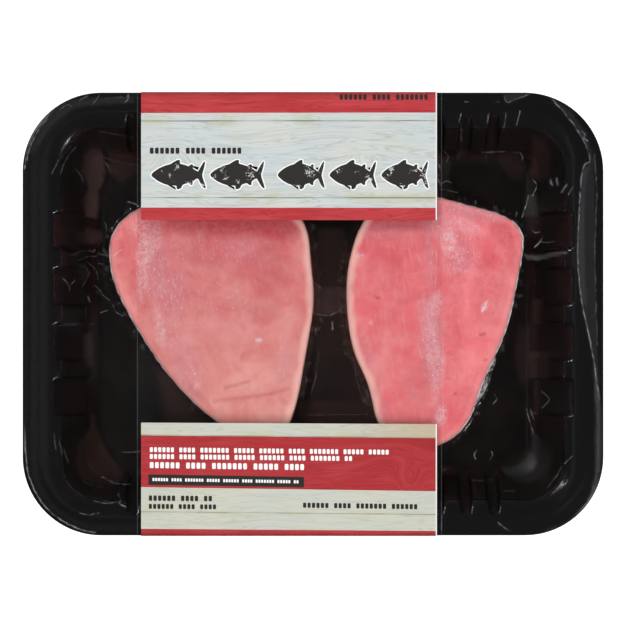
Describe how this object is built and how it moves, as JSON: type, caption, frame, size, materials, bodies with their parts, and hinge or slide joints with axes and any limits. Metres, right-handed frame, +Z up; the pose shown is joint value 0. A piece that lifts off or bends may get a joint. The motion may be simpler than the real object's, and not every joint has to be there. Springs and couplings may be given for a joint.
{
  "type": "vacuum skin pack of raw tuna steaks",
  "caption": "Sealed black tray of pink raw tuna steaks under clear skin film, with a red and white wood-print sleeve round the middle",
  "frame": {"origin": "middle of the sleeve's underside, on which the pack lies", "axes": "+X along the tray's long side, +Y towards the top of the printed front, +Z up out of the tray"},
  "size_m": [0.24, 0.1836, 0.0311],
  "materials": {
    "tray_plastic": "glossy thermoformed black plastic",
    "tuna_flesh": "moist pink raw fish flesh",
    "skin_film": "clear glossy skin film",
    "sleeve_print": "satin film printed with red and white wood planks, clear between the panels"
  },
  "bodies": {
    "root": {"tray": "tray_plastic", "steak_left": "tuna_flesh", "steak_right": "tuna_flesh", "skin_film": "skin_film", "sleeve": "sleeve_print"}
  },
  "joints": []
}
